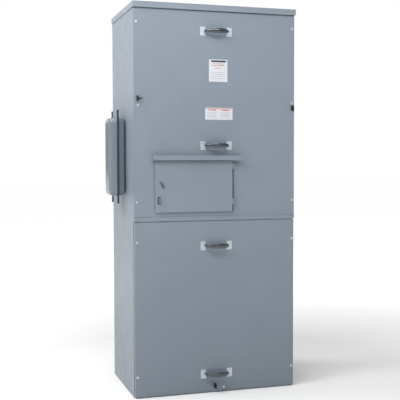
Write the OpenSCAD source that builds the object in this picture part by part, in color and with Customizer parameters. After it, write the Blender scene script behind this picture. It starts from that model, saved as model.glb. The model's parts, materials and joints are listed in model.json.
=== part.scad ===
// Free-standing main service cabinet: a folded-steel shell with two lift-off
// covers, a breaker access door, and a side throat for the cross bus.
// Millimetres, +X right, +Y back, +Z up; the origin is the floor anchor centre.

/* [Cabinet] */
// Width over the upper cover
cab_w = 816; // [800:1:860]
// Depth from the cover face to the back
cab_d = 504; // [500:1:560]
// Height to the top of the roof
cab_h = 1880; // [1860:1:1960]
// Height of the joint between the two covers
split_z = 844; // [836:1:850]
// Thickness of the folded sheet steel
sheet = 2; // [1.6:0.1:2.2]

/* [Roof] */
// Height of the roof's turned-down lip
roof_lip = 28; // [24:1:32]
// Roof overhang past the cover face
roof_front = 10; // [8:1:16]
// Roof overhang past each side
roof_side = 4; // [4:0.5:6]

/* [Covers] */
// Depth of the covers' folded side returns
cover_return = 20; // [16:1:20]
// Distance of the cover screws from the cover's edge
screw_inset = 12.5; // [11:0.5:14]
// Step of the upper cover's lower edge
ledge_step = 3; // [2:0.5:4]

/* [Access door] */
// Width of the access door
door_w = 387; // [380:1:394]
// Height of the access door
door_h = 244; // [240:1:246]
// How far the door stands out from the cover
door_proud = 12; // [12:0.5:14]
// How far the drip hood stands out from the cover
hood_depth = 32; // [26:1:38]

/* [Pull handles] */
// Width over the two end plates of a handle
handle_w = 160; // [150:1:170]
// How far a grip stands out from its plates
grip_out = 44; // [38:1:50]
// Height of a grip at its middle
grip_fat = 23; // [18:1:26]

/* [Bus throat] */
// Height of the throat at its joint flange
throat_h = 397; // [390:1:404]
// Depth of the throat at its joint flange, front to back
throat_d = 140; // [132:1:144]
// Length of the throat's neck and of its end cap
throat_len = 40; // [36:1:44]

/* [Breaker] */
// Length of the breaker's base
brk_len = 330; // [320:1:336]
// Width of the breaker across its poles
brk_w = 210; // [206:1:214]
// Distance between the breaker's poles
pole_pitch = 70; // [68:1:71]
// Swing of the breaker's handle to each side of the middle
handle_tilt = 18; // [14:1:20]

/* [Hidden] */
$fn = 48;

// Colours
paint = "#8f9ca8";
dark_paint = "#66727b";
zinc = "#c9d0d6";
copper = "#b87345";
moulding = "#2b2d30";
foam = "#26282a";

// Planes of the shell
half_w = cab_w / 2;
front_y = -cab_d / 2;
back_y = cab_d / 2;
side_x = half_w - sheet / 2;
roof_under = cab_h - sheet;
lip_z = cab_h - roof_lip;
roof_screw_y = [-67, 48];
roof_screw_rise = 12;
clear = 0.3;
pad_t = 2.5;

// The landing flange that the covers' gaskets meet
land_y = front_y + sheet + pad_t + clear;
land_mid = land_y + sheet / 2;
step_x = half_w - 7;
land_in = half_w - 34;
side_front = front_y + cover_return + 3;
flange_in = half_w - 16;
pad_out = land_in + 7;
pad_in = land_in + 1;

// The covers
cover_gap = 1.5;
upper_z0 = split_z + cover_gap;
upper_z1 = lip_z - 3;
lower_z0 = 6;
lower_z1 = split_z - cover_gap;
lower_half_w = half_w - 2;
ledge_h = 20;
screw_x = half_w - screw_inset;
upper_screw_z = [upper_z1 - 64, upper_z0 + 92.5];
lower_screw_z = [lower_z1 - 96.5, lower_z0 + 96];
screw_r = 3;
screw_hole_r = 3.4;
head_r = 6.5;

// Seal points: a lug that stands through the cover and a drilled screw
seal_screw_left = [-half_w + 21, 1395];
seal_screw_right = [half_w - 14, 1420];
seal_screw_low = [36, 24];
lug_t = 3;
lug_h = 22;
lug_out = 28;
lug_left = [-half_w + 16, 1427];
lug_right = [half_w - 14, 1395];
lug_low = [-10, 33];

// The access door, its opening and its hinge
door_x0 = -half_w + 100;
door_x1 = door_x0 + door_w;
door_z0 = 889;
door_z1 = door_z0 + door_h;
door_face = front_y - door_proud;
door_lap = 12;
hinge_x = door_x1 + 6;
hinge_y = front_y - 8;
knuckle_r = 5;
pin_r = 2.5;
knuckle_len = 29;
hinge_z = [door_z0 + 33, door_z1 - 39];
latch_x = door_x0 + 38;
latch_z = door_z0 + 123;
staple_x = door_x0 + 20;
staple_z = door_z0 + 56;
staple_h = 24;
staple_out = 30;

// The drip hood over the door
hood_x0 = -half_w + 88;
hood_x1 = hood_x0 + 439;
hood_z = door_z1 + 24;
hood_lip = 21.5;

// Pull handles: centre x and heights
handle_x = -1;
upper_handle_z = [1754.5, 1207];
lower_handle_z = [722, 94];
plate_w = 27;
plate_h = 43;

// Labels: low corner and size of each
label_a = [-37, 1515, 94, 106];
label_b = [-56, 1332, 139, 58];
label_t = 0.6;

// The cross-bus throat in the left side
throat_y = -11;
throat_z = 1155;
throat_lip = 4;
mouth_h = 359;
mouth_d = 115;
passage_h = mouth_h - 20;
passage_d = mouth_d - 16;
cap_h = 344;
neck_x = -half_w - throat_len;
cleat_len = 457;
gasket_t = 2;

// Wall and floor fixings
anchor_dx = 680;
anchor_dy = 380;
anchor_r = 7;
wall_dx = 600;
wall_dz = 1100;
wall_z = 950;
wall_r = 5.5;
pan_t = 3;

// The breaker's frame: its back face, centre line and planes
brk_x = (door_x0 + door_x1) / 2;
brk_z = (door_z0 + door_z1) / 2;
brk_y = -60;
base_d = 70;
top_d = 140;
nose_d = 155;
top_half = 100;
strap_back = 40;
bar_t = 6;
poles = [-pole_pitch, 0, pole_pitch];
bar_face = brk_y - strap_back;
pivot_y = brk_y - 104;
arm_x = brk_x - 40;
arm_y = brk_y - 78;
button_x = brk_x - 46;
button_z = brk_z + 26;
dead_y = brk_y - 148;

// Bus bars, in the order a, b, c: a is the top pole
pole_z = [brk_z + pole_pitch, brk_z, brk_z - pole_pitch];
cross_z = [1196, 1113, 1030];
cross_y = [-41, -8, 25];
neutral_z = 1279;
neutral_y = -8;
cross_h = 60;
cross_end = -half_w - 62;
riser_x0 = -345;
riser_x1 = -300;
line_end = [brk_x + 405, brk_x + 325, brk_x + 245];
lug_w = 50;
lug_d = 38;
lug_body = 52;
barrel_r = 9.5;
drop_x0 = 330;
drop_x1 = 380;
drop_z0 = 1100;
line_bolt_x = brk_x + 135;
load_bolt_x = brk_x - 135;
bolt_r = 5;
bolt_hole_r = 5.4;
channel_z = [850, 1232];
channel_h = 30;

// Shared helpers
module box(lo, hi) {
    translate(lo) cube(hi - lo);
}

module rounded_rect(w, h, r) {
    square([w - 2 * r, h], center = true);
    square([w, h - 2 * r], center = true);
    for (sx = [-1, 1], sy = [-1, 1])
        translate([sx * (w / 2 - r), sy * (h / 2 - r)]) circle(r);
}

// A bent sheet: the rectangles along a path of straight, square turns
module folded(path, t) {
    for (i = [0 : len(path) - 2]) {
        a = path[i];
        b = path[i + 1];
        lo = [min(a.x, b.x) - t / 2, min(a.y, b.y) - t / 2];
        hi = [max(a.x, b.x) + t / 2, max(a.y, b.y) + t / 2];
        translate(lo) square(hi - lo);
    }
}

// A cylinder along +Y that starts at [x, y, z]
module rod_y(at, r, len) {
    translate(at) rotate([-90, 0, 0]) cylinder(h = len, r = r);
}

// A rounded tapering solid along -X, from the size at its root to the size at its tip
module taper(h0, d0, h1, d1, r, len) {
    rotate([0, -90, 0])
        linear_extrude(height = len, scale = [h1 / h0, d1 / d0], slices = 1)
            rounded_rect(h0, d0, r, $fn = 32);
}

module throat_outline(h, d, r, len) {
    rotate([0, -90, 0]) linear_extrude(height = len) rounded_rect(h, d, r);
}

// A hex washer-head screw that stands on the face y and reaches back by len
module cover_screw(x, y, z, len) {
    difference() {
        union() {
            rod_y([x, y - 1.5, z], head_r, 1.5);
            rod_y([x, y - 5, z], 5, 3.6, $fn = 6);
            rod_y([x, y - 0.1, z], screw_r, len);
        }
        box([x - 0.8, y - 6, z - 6], [x + 0.8, y - 3.6, z + 6]);
    }
}

// Shell
module back_panel() {
    color(paint) difference() {
        box([-half_w, back_y - sheet, 0], [half_w, back_y, lip_z - 2]);
        for (sx = [-1, 1], sz = [-1, 1])
            rod_y([sx * wall_dx / 2, back_y - sheet - 1, wall_z + sz * wall_dz / 2], wall_r, sheet + 2);
    }
}

module side_panel(seal_screw) {
    side_path = [
        [-flange_in, back_y - 1.5 * sheet], [-side_x, back_y - 1.5 * sheet], [-side_x, side_front],
        [-step_x, side_front], [-step_x, land_mid], [-land_in - sheet / 2, land_mid]
    ];
    difference() {
        union() {
            linear_extrude(height = roof_under) folded(side_path, sheet);
            box([-side_x, side_front, roof_under - sheet], [-half_w + 26, back_y - 2 * sheet, roof_under]);
        }
        for (z = concat(upper_screw_z, lower_screw_z))
            rod_y([-screw_x, land_y - 1, z], screw_hole_r, sheet + 2);
        rod_y([seal_screw.x, land_y - 1, seal_screw.y], screw_hole_r, sheet + 2);
    }
}

module left_side_panel() {
    color(paint) difference() {
        side_panel(seal_screw_left);
        translate([-half_w + 5, throat_y, throat_z]) throat_outline(passage_h, passage_d, 18, 8);
    }
}

module right_side_panel() {
    color(paint) mirror([1, 0, 0]) side_panel([-seal_screw_right.x, seal_screw_right.y]);
}

module roof() {
    half = half_w + roof_side;
    nose = front_y - roof_front;
    color(paint) difference() {
        box([-half, nose, lip_z], [half, back_y, cab_h]);
        box([-half_w, nose + roof_side, lip_z - 1], [half_w, back_y - sheet, roof_under]);
        for (sx = [-1, 1], y = roof_screw_y)
            translate([sx * (half_w - 1), y, lip_z + roof_screw_rise])
                rotate([0, sx * 90, 0]) cylinder(h = roof_side + 2, r = screw_hole_r);
    }
}

module bottom_pan() {
    inner = half_w - sheet;
    rear = back_y - 2 * sheet;
    color(paint) difference() {
        union() {
            box([-inner, side_front + 2, 0], [inner, rear, pan_t]);
            box([-land_in + clear, land_y, 0], [land_in - clear, side_front + 2, pan_t]);
            box([-land_in + clear, land_y, 0], [land_in - clear, land_y + sheet, 44]);
            box([-inner + 16, rear - pan_t, 0], [inner - 16, rear, 40]);
        }
        box([-300, -150, -1], [300, 150, pan_t + 1]);
        for (sx = [-1, 1], sy = [-1, 1])
            translate([sx * anchor_dx / 2, sy * anchor_dy / 2, -1]) cylinder(h = pan_t + 2, r = anchor_r);
        for (sx = [-1, 1], sy = [-1, 1])
            translate([sx * 315, sy * 140, -1]) cylinder(h = pan_t + 2, r = screw_hole_r);
        rod_y([seal_screw_low.x, land_y - 1, seal_screw_low.y], screw_hole_r, sheet + 2);
    }
}

module bottom_closing_plate() {
    color(zinc) difference() {
        box([-325, -165, pan_t], [325, 165, pan_t + sheet]);
        for (sx = [-1, 1], sy = [-1, 1])
            translate([sx * 315, sy * 140, 0]) cylinder(h = 10, r = screw_hole_r);
    }
}

// The header under the roof and the rail behind the joint of the covers
module front_rails() {
    in = land_in - clear;
    color(paint) {
        box([-in, land_y, lip_z - 46], [in, land_y + sheet, roof_under]);
        box([-in, land_y, roof_under - sheet], [in, land_y + 26, roof_under]);
        box([-in, land_y, split_z - 30], [in, land_y + sheet, split_z + 30]);
        for (z = [split_z - 30, split_z + 30 - sheet]) box([-in, land_y, z], [in, land_y + 30, z + sheet]);
    }
}

module cabinet_screws() {
    color(zinc) {
        for (sx = [-1, 1], y = roof_screw_y)
            translate([sx * half_w, y, lip_z + roof_screw_rise]) rotate([0, sx * 90, 0]) {
                cylinder(h = roof_side, r = screw_r);
                translate([0, 0, roof_side]) cylinder(h = 1.2, r = head_r);
                translate([0, 0, roof_side + 1.2]) cylinder(h = 2.4, r = 5, $fn = 6);
            }
        for (sx = [-1, 1], sy = [-1, 1])
            translate([sx * 315, sy * 140, 0.5]) {
                cylinder(h = pan_t + sheet - 0.5, r = screw_r);
                translate([0, 0, pan_t + sheet - 0.5]) cylinder(h = 4, r = head_r);
            }
    }
}

module seal_lug(at) {
    difference() {
        box([at.x, front_y - lug_out, at.y - lug_h / 2], [at.x + lug_t, land_y, at.y + lug_h / 2]);
        translate([at.x - 1, front_y - lug_out + 7, at.y]) rotate([0, 90, 0]) cylinder(h = lug_t + 2, r = 2);
    }
}

module seal_lugs() {
    color(moulding) for (at = [lug_left, lug_right, lug_low]) seal_lug(at);
}

// Bus throat: a drawn neck, a gasket, and a drawn end cap held by two cleats
module throat_shell(h1, d1) {
    h0 = throat_h - 2 * throat_lip;
    d0 = throat_d - 2 * throat_lip;
    difference() {
        union() {
            taper(h0, d0, h1, d1, 24, throat_len);
            throat_outline(throat_h, throat_d, 26, sheet);
        }
        translate([0.01, 0, 0])
            taper(h0 - 2 * sheet, d0 - 2 * sheet, h1 - 2 * sheet, d1 - 2 * sheet, 22, throat_len - sheet);
    }
}

module bus_throat() {
    color(dark_paint) difference() {
        translate([neck_x, throat_y, throat_z]) mirror([1, 0, 0]) throat_shell(mouth_h, mouth_d);
        translate([-half_w + 1, throat_y, throat_z]) throat_outline(passage_h, passage_d, 18, 6);
    }
}

module throat_gasket() {
    color(foam) translate([neck_x, throat_y, throat_z]) difference() {
        throat_outline(throat_h - 1, throat_d - 1, 25, gasket_t);
        translate([1, 0, 0]) throat_outline(throat_h - 13, throat_d - 13, 20, gasket_t + 2);
    }
}

module throat_end_cap() {
    color(dark_paint) translate([neck_x - gasket_t, throat_y, throat_z]) throat_shell(cap_h, mouth_d);
}

module throat_cleat() {
    slot = (2 * sheet + gasket_t + 0.4) / 2;
    lip = slot + sheet;
    difference() {
        box([-lip, -3, 0], [lip, 3.4, cleat_len]);
        box([-slot, -4, -1], [slot, 1.4, cleat_len + 1]);
    }
}

module throat_cleats() {
    color(moulding) translate([neck_x - gasket_t / 2, throat_y, throat_z - cleat_len / 2])
        for (s = [0, 1]) mirror([0, s, 0]) translate([0, throat_d / 2 - 1, 0]) throat_cleat();
}

// Interior mounting
module pan_channels() {
    color(zinc) for (z = channel_z)
        translate([-half_w + sheet, 0, 0]) rotate([90, 0, 90]) linear_extrude(height = cab_w - 2 * sheet)
            folded([[-30, z + 1], [-56, z + 1], [-56, z + channel_h - 1], [-30, z + channel_h - 1]], sheet);
}

module breaker_pan() {
    color(zinc) box([-292, brk_y, channel_z[0]], [300, -57, channel_z[1] + channel_h]);
}

module dead_front() {
    color(paint) difference() {
        box([-330, dead_y, 870], [110, dead_y + sheet, 1150]);
        translate([brk_x - 62, dead_y - 1, brk_z - 42]) cube([124, sheet + 2, 84]);
    }
}

module dead_front_posts() {
    color(zinc) for (x = [-285, 70], z = [880, 1140])
        rod_y([x, dead_y + sheet, z], 6, brk_y - dead_y - sheet);
}

module bar_window(y, z) {
    half = cross_h / 2 + 0.4;
    box([-half_w, y - 0.4, z - half], [-half_w + 30, y + bar_t + 0.4, z + half]);
}

module bus_support_plate() {
    color("#8a3b2c") difference() {
        box([-half_w + 4, -66, 984], [-half_w + 24, 44, 1330]);
        for (i = [0 : 2]) bar_window(cross_y[i], cross_z[i]);
        bar_window(neutral_y, neutral_z);
        box([-half_w, -67, channel_z[1] - 1], [-half_w + 30, -27, channel_z[1] + channel_h + 1]);
    }
}

module bus_insulators() {
    color("#8a3b2c") {
        for (i = [0 : 2]) rod_y([line_end[i] - 58, bar_face, pole_z[i]], 15, brk_y - bar_face);
        rod_y([(drop_x0 + drop_x1) / 2, -55, channel_z[1] + 15], 12, neutral_y - bar_t + 55);
    }
}

// Breaker
module breaker_base() {
    color(moulding) translate([brk_x, brk_y, brk_z]) difference() {
        box([-brk_len / 2, -base_d, -brk_w / 2], [brk_len / 2, 0, brk_w / 2]);
        for (p = poles) {
            box([-95, -base_d - 1, p - 28], [95, -8, p + 28]);
            for (s = [-1, 1]) {
                translate([s * 133, -base_d / 2 - 18, p]) cube([78, 38, 42], center = true);
                rod_y([s * 135, -strap_back, p], 7, 22);
            }
        }
    }
}

module breaker_case_top() {
    color(moulding) translate([brk_x, brk_y, brk_z]) {
        difference() {
            union() {
                box([-top_half, -top_d, -brk_w / 2], [top_half, -base_d, brk_w / 2]);
                box([-60, -nose_d, -40], [60, -top_d + 1, 40]);
            }
            box([-95, -134, -98], [95, -base_d + 1, 98]);
            box([-28, -nose_d - 1, -10], [28, -130, 10]);
            rod_y([-46, -nose_d - 1, 26], 5.4, 30);
            translate([-40, -78, -103]) cylinder(h = 206, r = 7.06);
        }
        for (s = [-1, 1]) difference() {
            box([-10, -134, s * 21.5 - 2.5], [10, -94, s * 21.5 + 2.5]);
            translate([0, -104, s * 21.5 - 4]) cylinder(h = 8, r = 5.06);
        }
    }
}

module trip_unit() {
    color("#3d4043") translate([brk_x, brk_y, brk_z])
        box([-95, -122, -92], [-64, -base_d - 2, 92]);
}

module arc_chutes() {
    color(zinc) for (p = poles, i = [0 : 4])
        translate([brk_x + 71, brk_y - 68 + 5 * i, brk_z + p - 20]) cube([20, 1.5, 40]);
}

module breaker_terminals() {
    color(copper) translate([brk_x, brk_y, brk_z]) for (p = poles, s = [-1, 1]) difference() {
        box([s > 0 ? 50 : -165, -strap_back, p - 16], [s > 0 ? 165 : -62, -strap_back + bar_t, p + 16]);
        rod_y([s * 135, -strap_back - 1, p], bolt_hole_r, bar_t + 2);
    }
}

// Bus bars
module line_bus(i) {
    bolts = [line_bolt_x, line_end[i] - lug_w / 2];
    color(copper) difference() {
        box([brk_x + 100, bar_face - bar_t, pole_z[i] - 20], [line_end[i], bar_face, pole_z[i] + 20]);
        for (x = bolts) rod_y([x, bar_face - bar_t - 1, pole_z[i]], bolt_hole_r, bar_t + 2);
    }
}

module load_bus(i) {
    z = pole_z[i];
    plane = cross_y[i] - bar_t;
    color(copper) difference() {
        union() {
            box([riser_x0, bar_face - bar_t, z - 20], [brk_x - 100, bar_face, z + 20]);
            box([riser_x0, bar_face - bar_t, z - 20], [riser_x0 + bar_t, plane + bar_t, z + 20]);
            box([riser_x0, plane, z - 20], [riser_x1, plane + bar_t, cross_z[i] + cross_h / 2]);
        }
        rod_y([load_bolt_x, bar_face - bar_t - 1, z], bolt_hole_r, bar_t + 2);
        for (dz = [-15, 15]) rod_y([-316, plane - 1, cross_z[i] + dz], bolt_hole_r, bar_t + 2);
    }
}

module cross_bus(i) {
    color(copper) difference() {
        translate([cross_end, cross_y[i], cross_z[i] - cross_h / 2]) cube([-296 - cross_end, bar_t, cross_h]);
        for (dz = [-15, 15], x = [-316, cross_end + 15])
            rod_y([x, cross_y[i] - 1, cross_z[i] + dz], x < -400 ? 6.5 : bolt_hole_r, bar_t + 2);
    }
}

module neutral_bus() {
    mid = (drop_x0 + drop_x1) / 2;
    color(copper) difference() {
        union() {
            box([cross_end, neutral_y, neutral_z - 30], [drop_x1, neutral_y + bar_t, neutral_z + 30]);
            box([drop_x0, neutral_y - bar_t, drop_z0], [drop_x1, neutral_y, neutral_z + 30]);
        }
        for (dz = [-15, 15]) rod_y([cross_end + 15, neutral_y - 1, neutral_z + dz], 6.5, bar_t + 2);
        rod_y([mid, neutral_y - bar_t - 1, drop_z0 + 20], bolt_hole_r, bar_t + 2);
    }
}

module bus_bolt(x, y, z, grip) {
    rod_y([x, y - 6, z], 8.5, 6, $fn = 6);
    rod_y([x, y - 0.1, z], bolt_r, grip + 6);
    rod_y([x, y + grip, z], 8.5, 5, $fn = 6);
}

module bus_bolts() {
    color(zinc) {
        for (i = [0 : 2]) {
            for (x = [line_bolt_x, load_bolt_x]) {
                rod_y([x, bar_face - bar_t - 6, pole_z[i]], 8.5, 6, $fn = 6);
                rod_y([x, bar_face - bar_t - 0.1, pole_z[i]], bolt_r, 20);
            }
            for (dz = [-15, 15]) bus_bolt(-316, cross_y[i] - bar_t, cross_z[i] + dz, 2 * bar_t);
            bus_bolt(line_end[i] - lug_w / 2, bar_face - bar_t - 8, pole_z[i], bar_t + 8);
        }
        bus_bolt((drop_x0 + drop_x1) / 2, neutral_y - bar_t - 8, drop_z0 + 20, bar_t + 8);
    }
}

// Each lug hangs below its bar: [centre x, bar face y, tang centre z]
lug_at = [
    for (i = [0 : 2]) [line_end[i] - lug_w / 2, bar_face - bar_t, pole_z[i]],
    [(drop_x0 + drop_x1) / 2, neutral_y - bar_t, drop_z0 + 20]
];

module cable_lug() {
    difference() {
        union() {
            box([-15, -8, -22], [15, 0, 18]);
            box([-lug_w / 2, -lug_d, -22 - lug_body], [lug_w / 2, 0, -22]);
        }
        rod_y([0, -9, 0], bolt_hole_r, 10);
        for (s = [-1, 1]) {
            translate([s * 12, -lug_d / 2, -23 - lug_body]) cylinder(h = lug_body + 2, r = barrel_r);
            rod_y([s * 12, -lug_d - 1, -22 - lug_body / 2], 6, lug_d / 2);
        }
    }
}

module cable_lugs() {
    color("#b9bec3") for (at = lug_at) translate(at) cable_lug();
}

module lug_set_screws() {
    color(zinc) for (at = lug_at, s = [-1, 1])
        translate([at.x + s * 12, at.y - lug_d - 6, at.z - 22 - lug_body / 2]) difference() {
            rod_y([0, 0, 0], 5.8, 15);
            rod_y([0, -1, 0], 3.5, 6, $fn = 6);
        }
}

module ground_bar() {
    color("#b9bec3") {
        for (x = [215, 345]) rod_y([x, back_y - sheet - 12, 560], 8, 12);
        difference() {
            box([200, back_y - sheet - 26, 550], [360, back_y - sheet - 12, 570]);
            for (i = [0 : 7]) translate([210 + 20 * i, back_y - sheet - 18, 549]) cylinder(h = 22, r = 3);
        }
        for (i = [0 : 7]) rod_y([210 + 20 * i, back_y - sheet - 30, 560], 3.5, 4);
    }
}

module bonding_jumper() {
    color(copper) translate([342, 0, 0]) rotate([90, 0, 90]) linear_extrude(height = 25)
        folded([[neutral_y + bar_t + 1.5, 1240], [neutral_y + bar_t + 1.5, 1200],
                [back_y - sheet - 1.5, 1200], [back_y - sheet - 1.5, 1160]], 3);
}

// Covers
module cover_cuts(x, zs, seal_screw) {
    for (sx = [-1, 1], z = zs) rod_y([sx * x, front_y - 1, z], screw_hole_r, sheet + 2);
    rod_y([seal_screw.x, front_y - 1, seal_screw.y], screw_hole_r, sheet + 2);
}

module lug_slot(at) {
    translate([at.x - 2.5, front_y - 1, at.y - lug_h / 2 - 2.5]) cube([lug_t + 5, sheet + 2, lug_h + 5]);
}

module cover_pan(half, z0, z1) {
    box([-half, front_y, z0], [half, front_y + sheet, z1]);
    for (sx = [-1, 1])
        translate([sx * (half - sheet / 2) - sheet / 2, front_y, z0]) cube([sheet, cover_return, z1 - z0]);
}

module pad_ring(z0, z1) {
    difference() {
        box([-pad_out, front_y + sheet, z0], [pad_out, front_y + sheet + pad_t, z1]);
        box([-pad_in, front_y, z0 + 6], [pad_in, front_y + 10, z1 - 6]);
    }
}

module upper_cover() {
    ledge = front_y - ledge_step;
    color(paint) difference() {
        union() {
            cover_pan(half_w, upper_z0, upper_z1);
            box([-half_w, ledge, upper_z0], [half_w, front_y, upper_z0 + ledge_h]);
        }
        translate([-half_w + sheet, ledge + sheet, upper_z0 - 1])
            cube([cab_w - 2 * sheet, ledge_step + 1, ledge_h - sheet + 1]);
        translate([door_x0 + door_lap, front_y - 1, door_z0 + door_lap])
            cube([door_w - 2 * door_lap, sheet + 2, door_h - 2 * door_lap]);
        cover_cuts(screw_x, upper_screw_z, seal_screw_left);
        rod_y([seal_screw_right.x, front_y - 1, seal_screw_right.y], screw_hole_r, sheet + 2);
        lug_slot(lug_left);
        lug_slot(lug_right);
    }
}

module upper_gasket() {
    color(foam) pad_ring(upper_z0 + ledge_h + 1, upper_z1 - 4);
}

module upper_cover_screws() {
    color(zinc) {
        for (sx = [-1, 1], z = upper_screw_z) cover_screw(sx * screw_x, front_y, z, 10);
        cover_screw(seal_screw_left.x, front_y, seal_screw_left.y, 10);
        cover_screw(seal_screw_right.x, front_y, seal_screw_right.y, 10);
    }
}

// A bow grip: oval rings that swell towards the middle, swept along a half ellipse
module grip(z) {
    rings = 14;
    sides = 12;
    reach = handle_w / 2 - plate_w / 2;
    bow = grip_out - 8;
    points = [
        for (i = [0 : rings], j = [0 : sides - 1])
            let (
                a = 180 * i / rings,
                b = 360 * j / sides,
                thin = 5 + 3 * sin(a),
                fat = 6 + (grip_fat / 2 - 6) * sin(a),
                out = thin * cos(b)
            )
            [-(reach + out) * cos(a), -(bow + out) * sin(a), fat * sin(b)]
    ];
    skin = [
        for (i = [0 : rings - 1], j = [0 : sides - 1])
            let (k = (j + 1) % sides)
            [i * sides + j, i * sides + k, (i + 1) * sides + k, (i + 1) * sides + j]
    ];
    first = [for (j = [sides - 1 : -1 : 0]) j];
    last = [for (j = [0 : sides - 1]) rings * sides + j];
    translate([handle_x, front_y - sheet, z]) polyhedron(points, concat(skin, [first, last]));
}

module handle_plates(z) {
    for (s = [-1, 1]) translate([handle_x + s * (handle_w - plate_w) / 2, front_y, z]) {
        translate([-plate_w / 2, -sheet, -plate_h / 2]) cube([plate_w, sheet, plate_h]);
        for (t = [-1, 1]) rod_y([0, -sheet - 1.4, t * 15], 3.5, 1.4);
    }
}

module upper_handle_grips() {
    color(dark_paint) for (z = upper_handle_z) grip(z);
}

module upper_handle_plates() {
    color(zinc) for (z = upper_handle_z) handle_plates(z);
}

module cover_labels() {
    color("white") for (l = [label_a, label_b])
        box([l[0], front_y - label_t, l[1]], [l[0] + l[2], front_y, l[1] + l[3]]);
}

module drip_hood() {
    nose = front_y - hood_depth + sheet / 2;
    back = front_y - sheet / 2;
    top = hood_z + 1;
    hood_path = [[back, top + 18], [back, top], [nose, top], [nose, top - hood_lip]];
    color(paint) {
        translate([hood_x0, 0, 0]) rotate([90, 0, 90]) linear_extrude(height = hood_x1 - hood_x0)
            folded(hood_path, sheet);
        for (x = [hood_x0, hood_x1 - sheet])
            box([x, front_y - hood_depth, hood_z - hood_lip], [x + sheet, front_y, hood_z + 1]);
    }
}

// Door hinges: two fixed knuckles with their leaf and pin, and one moving knuckle between
module door_hinge_leaves() {
    third = knuckle_len / 3;
    color(paint) for (z = hinge_z) translate([hinge_x, hinge_y, z]) {
        for (dz = [0, 2 * third]) translate([0, 0, dz]) {
            cylinder(h = third, r = knuckle_r);
            box([3, 0, 0], [5, -hinge_y + front_y, third]);
        }
        box([3, front_y - hinge_y - sheet, 0], [26, front_y - hinge_y, knuckle_len]);
        translate([0, 0, -1]) cylinder(h = knuckle_len + 2, r = pin_r);
    }
}

module door_hinge_arms() {
    third = knuckle_len / 3;
    color(paint) for (z = hinge_z) translate([hinge_x, hinge_y, z + third + clear]) difference() {
        union() {
            cylinder(h = third - 2 * clear, r = knuckle_r);
            box([-6, -2, 0], [-4, 6, third - 2 * clear]);
        }
        translate([0, 0, -1]) cylinder(h = third + 2, r = pin_r + 0.06);
    }
}

module padlock_staple() {
    low = staple_z - staple_h / 2;
    color(paint) difference() {
        union() {
            box([staple_x - 37, front_y + sheet, low], [staple_x, front_y + sheet + 3, low + staple_h]);
            box([staple_x - 3, front_y - staple_out, low], [staple_x, front_y + sheet + 3, low + staple_h]);
        }
        translate([staple_x - 4, front_y - staple_out + 9, staple_z])
            rotate([0, 90, 0]) cylinder(h = 5, r = 4.5);
    }
}

module access_door() {
    rear = front_y - 1;
    color(paint) difference() {
        box([door_x0, door_face, door_z0], [door_x1, rear, door_z1]);
        translate([door_x0 + sheet, door_face + sheet, door_z0 + sheet])
            cube([door_w - 2 * sheet, door_proud, door_h - 2 * sheet]);
        translate([staple_x - 7, door_face - 1, staple_z - 16]) cube([11, sheet + 2, 32]);
        rod_y([latch_x, door_face - 1, latch_z], 5.4, sheet + 2);
    }
}

module door_gasket() {
    out = 3;
    in = 11;
    face = door_face + sheet;
    color(foam) difference() {
        box([door_x0 + out, face, door_z0 + out], [door_x1 - out, front_y - 0.5, door_z1 - out]);
        box([door_x0 + in, face - 1, door_z0 + in], [door_x1 - in, front_y, door_z1 - in]);
    }
}

// Quarter-turn latch: a knob with a wing outside and a cam inside
module door_latch() {
    color(moulding) translate([latch_x, door_face, latch_z]) {
        rod_y([0, -8, 0], 8, 7.7);
        rod_y([0, -1, 0], 5, 21);
        rotate([0, -30, 0]) box([-4, -9.5, 0], [4, -3, 26]);
        box([-6, 15.5, -34], [6, 18.5, 6]);
    }
}

module lower_cover() {
    color(paint) difference() {
        cover_pan(lower_half_w, lower_z0, lower_z1);
        cover_cuts(screw_x, lower_screw_z, seal_screw_low);
        lug_slot(lug_low);
    }
}

module lower_gasket() {
    color(foam) pad_ring(lower_z0 + 2, lower_z1 - 4);
}

module lower_cover_screws() {
    color(zinc) {
        for (sx = [-1, 1], z = lower_screw_z) cover_screw(sx * screw_x, front_y, z, 10);
        cover_screw(seal_screw_low.x, front_y, seal_screw_low.y, 10);
    }
}

module lower_handle_grips() {
    color(dark_paint) for (z = lower_handle_z) grip(z);
}

module lower_handle_plates() {
    color(zinc) for (z = lower_handle_z) handle_plates(z);
}

// Breaker mechanism
module breaker_handle() {
    color("#151617") translate([brk_x, pivot_y, brk_z]) rotate([0, 0, handle_tilt]) {
        translate([0, 0, -16]) cylinder(h = 32, r = 13);
        translate([0, 0, -23.8]) cylinder(h = 47.6, r = 5);
        box([-6, -74, -8], [6, 0, 8]);
    }
}

module trip_button() {
    color("#c22a22") {
        rod_y([button_x, brk_y - nose_d - 3, button_z], 5, 31);
        rod_y([button_x, brk_y - 133.5, button_z], 8, 3);
    }
}

// Three contact arms on one crossbar, closed on the line terminals
module contact_arms() {
    color(copper) translate([arm_x, arm_y, brk_z]) {
        translate([0, 0, -102.5]) cylinder(h = 205, r = 7);
        for (p = poles) translate([0, 0, p - 7]) rotate([0, 0, 19.3]) box([0, -5, 0], [105, 3, 14]);
    }
}

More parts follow.
